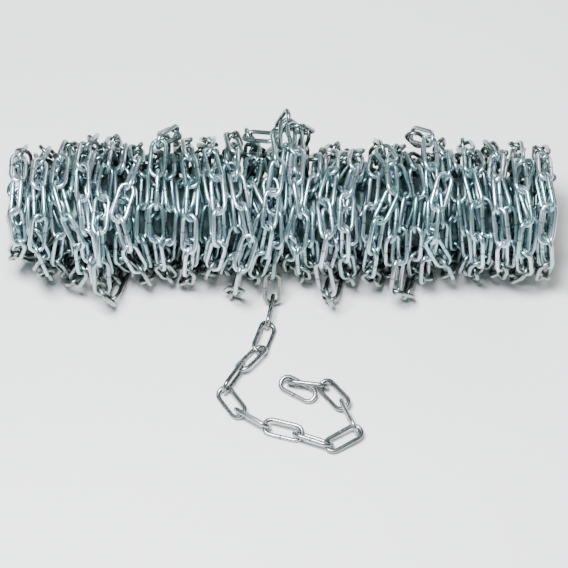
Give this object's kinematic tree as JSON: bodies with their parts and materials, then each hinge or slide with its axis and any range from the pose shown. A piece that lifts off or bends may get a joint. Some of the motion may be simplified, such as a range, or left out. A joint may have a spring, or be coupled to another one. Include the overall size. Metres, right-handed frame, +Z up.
{
  "type": "roll of long-link steel chain",
  "caption": "Loose roll of bright zinc-plated long-link steel chain, wound about a lying axis, with a short tail of links curled on the floor in front.",
  "frame": {"origin": "on the floor, at the middle of the footprint of the roll and its tail together", "axes": "+X along the roll, +Z up, the tail lies towards -Y"},
  "size_m": [0.5116, 0.3104, 0.1513],
  "materials": {
    "bright_zinc": "bright zinc plate with a faint blue cast, as bent and welded",
    "shaded_zinc": "bright zinc plate, dulled inside the roll"
  },
  "bodies": {
    "root": {"hidden_turns": "shaded_zinc", "loop_link_01": "bright_zinc", "loop_link_02": "bright_zinc", "loop_link_03": "bright_zinc", "loop_link_04": "bright_zinc", "loop_link_05": "bright_zinc", "loop_link_06": "bright_zinc", "loop_link_07": "bright_zinc", "loop_link_08": "bright_zinc", "loop_link_09": "bright_zinc", "outer_turns_1": "bright_zinc", "outer_turns_2": "bright_zinc", "outer_turns_3": "bright_zinc", "outer_turns_4": "bright_zinc", "outer_turns_5": "bright_zinc", "outer_turns_6": "bright_zinc", "outer_turns_7": "bright_zinc", "outer_turns_8": "bright_zinc", "tail_link_01": "bright_zinc", "tail_link_02": "bright_zinc", "tail_link_03": "bright_zinc", "tail_link_04": "bright_zinc", "tail_link_05": "bright_zinc", "tail_link_06": "bright_zinc", "tail_link_07": "bright_zinc", "tail_link_08": "bright_zinc", "tail_link_09": "bright_zinc", "tail_link_10": "bright_zinc", "tail_link_11": "bright_zinc", "tail_link_12": "bright_zinc", "tail_link_13": "bright_zinc", "tail_link_14": "bright_zinc"}
  },
  "joints": []
}
